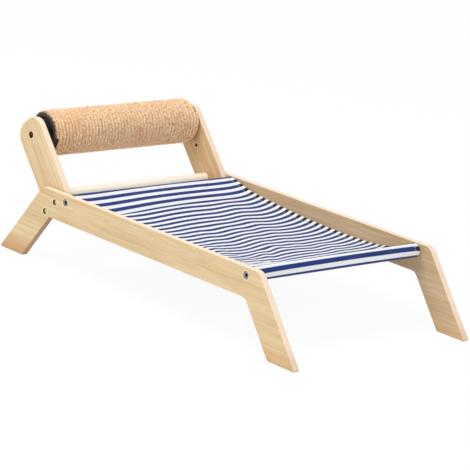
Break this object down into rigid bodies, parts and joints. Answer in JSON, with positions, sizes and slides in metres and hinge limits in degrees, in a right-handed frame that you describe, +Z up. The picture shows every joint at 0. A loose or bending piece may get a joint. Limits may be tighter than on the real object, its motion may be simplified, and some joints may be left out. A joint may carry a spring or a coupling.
{
  "type": "cat lounge chair",
  "caption": "Cat lounge chair: bent-leg wooden side panels carry a striped cloth sling between rods, and leaning arms hold a crossbar and a sisal scratching roller that turns freely.",
  "frame": {"origin": "on the ground, midway along and across the chair", "axes": "+X towards the low foot end, +Y towards the chair's left seen from behind its roller end, +Z up"},
  "size_m": [0.6466, 0.32, 0.209],
  "materials": {
    "pine": "clear satin lacquer on pale pine board",
    "beech": "clear satin lacquer on turned hardwood",
    "canvas": "plain-woven cotton canvas, blue and white stripes across the bed",
    "sisal": "natural twisted sisal rope",
    "cardboard": "plain wound paper tube",
    "black_plastic": "moulded, matte",
    "zinc": "bright zinc plate",
    "brass": "plain turned brass",
    "dark_steel": "dark bronze-black phosphate"
  },
  "bodies": {
    "frame": {"side_panel_right": "pine", "side_panel_left": "pine", "arm_right": "pine", "arm_left": "pine", "crossbar": "beech", "head_rod": "beech", "foot_rod": "beech", "sling": "canvas", "roller_screw_right": "dark_steel", "roller_screw_left": "dark_steel", "head_rod_bolt_right": "zinc", "head_rod_bolt_left": "zinc", "foot_rod_bolt_right": "zinc", "foot_rod_bolt_left": "zinc", "head_rod_insert_right": "brass", "head_rod_insert_left": "brass", "foot_rod_insert_right": "brass", "foot_rod_insert_left": "brass", "arm_screw_front_right": "dark_steel", "arm_screw_front_left": "dark_steel", "arm_screw_rear_right": "dark_steel", "arm_screw_rear_left": "dark_steel", "crossbar_screw_right": "dark_steel", "crossbar_screw_left": "dark_steel"},
    "roller": {"roller_tube": "cardboard", "roller_plug_right": "black_plastic", "roller_plug_left": "black_plastic", "sisal_rope": "sisal"}
  },
  "joints": [
    {"name": "roller_spin", "type": "hinge", "parent": "frame", "child": "roller", "pos_m": [-0.28146, 0, 0.17535], "axis": [0, 1, 0], "continuous": true}
  ]
}
